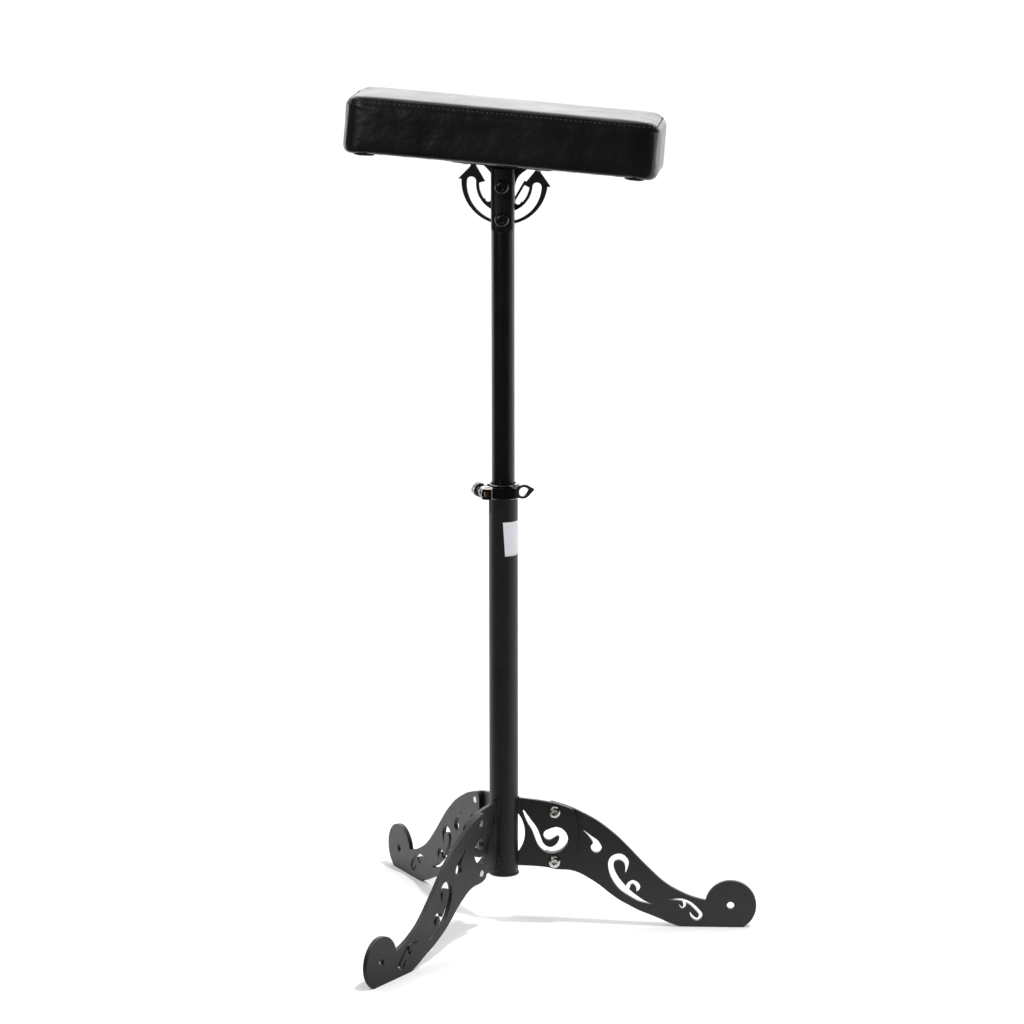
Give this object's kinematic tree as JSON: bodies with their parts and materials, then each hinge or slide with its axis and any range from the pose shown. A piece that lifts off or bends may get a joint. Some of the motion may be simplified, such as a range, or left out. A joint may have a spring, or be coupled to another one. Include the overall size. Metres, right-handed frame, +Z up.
{
  "type": "tattoo arm rest stand",
  "caption": "Height-adjustable tripod arm rest: scroll-cut plate legs, tube and post with a quick-release clamp, and a tilting padded rest.",
  "frame": {"origin": "on the outer tube's axis, at floor level, where the feet stand", "axes": "+Z up along the tube; +X along the first leg; the pad's long side lies along +X, turned 4 degrees about Z as in the picture"},
  "size_m": [0.4509, 0.4884, 0.9295],
  "materials": {
    "tube_paint": "satin black powder coat",
    "plate_paint": "satin black powder coat on laser-cut plate",
    "black_steel": "black oxide steel",
    "clamp_black": "gloss black anodised alloy",
    "zinc_steel": "bright zinc plate",
    "brass": "turned brass",
    "black_nylon": "moulded nylon",
    "label": "blank white paper label",
    "pad_leather": "glossy black artificial leather",
    "pad_foam": "upholstery foam",
    "pad_board": "plywood",
    "pad_lining": "black non-woven lining"
  },
  "bodies": {
    "stand": {"outer_tube": "tube_paint", "tube_end_cap": "black_nylon", "leg_bracket_1": "plate_paint", "leg_bracket_2": "plate_paint", "leg_bracket_3": "plate_paint", "leg_1": "plate_paint", "leg_2": "plate_paint", "leg_3": "plate_paint", "leg_bolts": "zinc_steel", "reducer_bush": "black_nylon", "tube_label": "label", "clamp_band": "clamp_black", "clamp_skewer": "zinc_steel", "clamp_barrel": "brass", "clamp_saddle": "clamp_black"},
    "clamp_nut": {"clamp_nut": "zinc_steel"},
    "clamp_lever": {"clamp_lever": "clamp_black"},
    "slider": {"guide_plug": "black_nylon"},
    "post": {"post": "tube_paint", "pivot_bolt": "black_steel", "lock_bolt": "black_steel", "friction_washers": "black_nylon", "steel_washers": "zinc_steel", "pivot_nut": "zinc_steel"},
    "lock_handle": {"lock_handle": "black_steel"},
    "rest": {"tilt_plate": "plate_paint", "mount_plate": "plate_paint", "mount_screws": "zinc_steel", "pad_board": "pad_board", "pad_foam": "pad_foam", "pad_cover": "pad_leather", "pad_underside": "pad_lining"}
  },
  "joints": [
    {"name": "height_slide", "type": "slide", "parent": "stand", "child": "slider", "axis": [0, 0, 1], "range_m": [-0.145, 0.1]},
    {"name": "post_swivel", "type": "hinge", "parent": "slider", "child": "post", "pos_m": [0, 0, 0.5], "axis": [0, 0, 1], "continuous": true},
    {"name": "pad_tilt", "type": "hinge", "parent": "post", "child": "rest", "pos_m": [0, 0, 0.829], "axis": [0.0698, 0.9976, 0], "range_deg": [-92.5, 83.5]},
    {"name": "lock_handle_turn", "type": "hinge", "parent": "post", "child": "lock_handle", "pos_m": [0, 0, 0.7933], "axis": [0.0698, 0.9976, 0], "range_deg": [0, 120]},
    {"name": "clamp_lever_open", "type": "hinge", "parent": "stand", "child": "clamp_lever", "pos_m": [-0.01574, -0.02418, 0.496], "axis": [0, 0, -1], "range_deg": [0, 150]},
    {"name": "clamp_nut_turn", "type": "hinge", "parent": "stand", "child": "clamp_nut", "pos_m": [-0.02228, -0.01135, 0.496], "axis": [0.454, -0.891, 0], "continuous": true}
  ]
}
